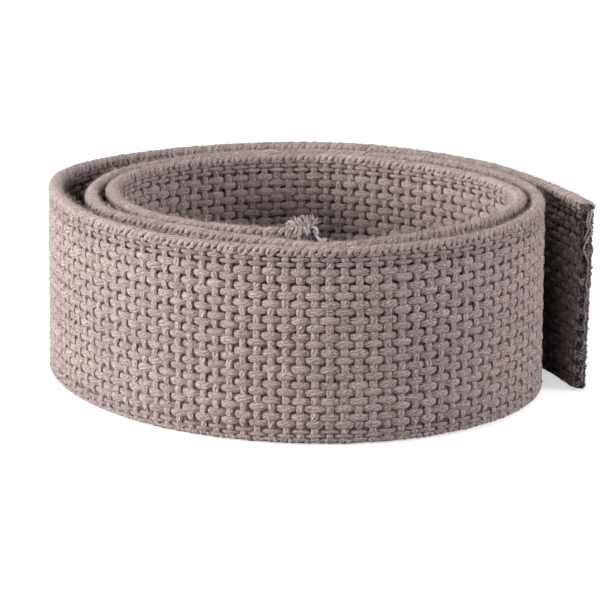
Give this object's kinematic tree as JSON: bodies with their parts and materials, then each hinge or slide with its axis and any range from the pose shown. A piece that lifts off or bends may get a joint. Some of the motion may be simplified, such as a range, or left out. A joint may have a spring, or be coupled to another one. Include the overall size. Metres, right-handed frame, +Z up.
{
  "type": "gait belt",
  "caption": "Loosely rolled length of heavy solid-woven cotton belt webbing standing on its edge, with both raw cut ends showing.",
  "frame": {"origin": "middle of the roll's outline seen from above, at the level of the edge that it stands on", "axes": "+X along the roll's longest extent, towards the loose outer end; +Y away from the free inner end; +Z up, across the webbing's width"},
  "size_m": [0.1406, 0.1236, 0.0542],
  "materials": {
    "cotton_ply": "taupe coarse plain-woven cotton",
    "cotton_selvedge": "taupe fine twisted cotton edge",
    "core_yarn": "navy stuffer yarn",
    "loose_yarn": "pale loose cotton fibre"
  },
  "bodies": {
    "coil": {"coil_inner_bottom_selvedge": "cotton_selvedge", "coil_inner_core": "core_yarn", "coil_inner_inner_ply": "cotton_ply", "coil_inner_outer_ply": "cotton_ply", "coil_inner_top_selvedge": "cotton_selvedge", "coil_middle_bottom_selvedge": "cotton_selvedge", "coil_middle_core": "core_yarn", "coil_middle_inner_ply": "cotton_ply", "coil_middle_outer_ply": "cotton_ply", "coil_middle_top_selvedge": "cotton_selvedge", "coil_outer_bottom_selvedge": "cotton_selvedge", "coil_outer_core": "core_yarn", "coil_outer_inner_ply": "cotton_ply", "coil_outer_outer_ply": "cotton_ply", "coil_outer_top_selvedge": "cotton_selvedge"},
    "tail_1": {"tail_1_bottom_selvedge": "cotton_selvedge", "tail_1_core": "core_yarn", "tail_1_inner_ply": "cotton_ply", "tail_1_outer_ply": "cotton_ply", "tail_1_top_selvedge": "cotton_selvedge"},
    "tail_2": {"tail_2_bottom_selvedge": "cotton_selvedge", "tail_2_core": "core_yarn", "tail_2_inner_ply": "cotton_ply", "tail_2_outer_ply": "cotton_ply", "tail_2_top_selvedge": "cotton_selvedge"},
    "tail_3": {"tail_3_bottom_selvedge": "cotton_selvedge", "tail_3_core": "core_yarn", "tail_3_inner_ply": "cotton_ply", "tail_3_outer_ply": "cotton_ply", "tail_3_top_selvedge": "cotton_selvedge"},
    "tail_4": {"core_yarn_end_01": "core_yarn", "core_yarn_end_02": "core_yarn", "core_yarn_end_03": "core_yarn", "core_yarn_end_04": "core_yarn", "core_yarn_end_05": "core_yarn", "core_yarn_end_06": "core_yarn", "core_yarn_end_07": "core_yarn", "core_yarn_end_08": "core_yarn", "core_yarn_end_09": "core_yarn", "core_yarn_end_10": "core_yarn", "core_yarn_end_11": "core_yarn", "core_yarn_end_12": "core_yarn", "loose_weft": "loose_yarn", "tail_4_bottom_selvedge": "cotton_selvedge", "tail_4_core": "core_yarn", "tail_4_inner_ply": "cotton_ply", "tail_4_outer_ply": "cotton_ply", "tail_4_top_selvedge": "cotton_selvedge"},
    "inner_1": {"inner_1_bottom_selvedge": "cotton_selvedge", "inner_1_core": "core_yarn", "inner_1_inner_ply": "cotton_ply", "inner_1_outer_ply": "cotton_ply", "inner_1_top_selvedge": "cotton_selvedge"},
    "inner_2": {"frayed_tuft": "loose_yarn", "inner_2_bottom_selvedge": "cotton_selvedge", "inner_2_core": "core_yarn", "inner_2_inner_ply": "cotton_ply", "inner_2_outer_ply": "cotton_ply", "inner_2_top_selvedge": "cotton_selvedge"}
  },
  "joints": [
    {"name": "tail_bend_1", "type": "hinge", "parent": "coil", "child": "tail_1", "pos_m": [-0.0684, 0.01528, 0.025], "axis": [0, 0, 1], "range_deg": [0, 30]},
    {"name": "tail_bend_2", "type": "hinge", "parent": "tail_1", "child": "tail_2", "pos_m": [-0.05931, 0.03721, 0.025], "axis": [0, 0, 1], "range_deg": [0, 30]},
    {"name": "tail_bend_3", "type": "hinge", "parent": "tail_2", "child": "tail_3", "pos_m": [-0.00451, 0.05991, 0.025], "axis": [0, 0, 1], "range_deg": [0, 30]},
    {"name": "tail_bend_4", "type": "hinge", "parent": "tail_3", "child": "tail_4", "pos_m": [0.03946, 0.04053, 0.025], "axis": [0, 0, 1], "range_deg": [0, 30]},
    {"name": "inner_bend_1", "type": "hinge", "parent": "coil", "child": "inner_1", "pos_m": [-0.05273, 0.00778, 0.025], "axis": [0, 0, 1], "range_deg": [0, 30]},
    {"name": "inner_bend_2", "type": "hinge", "parent": "inner_1", "child": "inner_2", "pos_m": [-0.03986, -0.0233, 0.025], "axis": [0, 0, 1], "range_deg": [0, 30]}
  ]
}
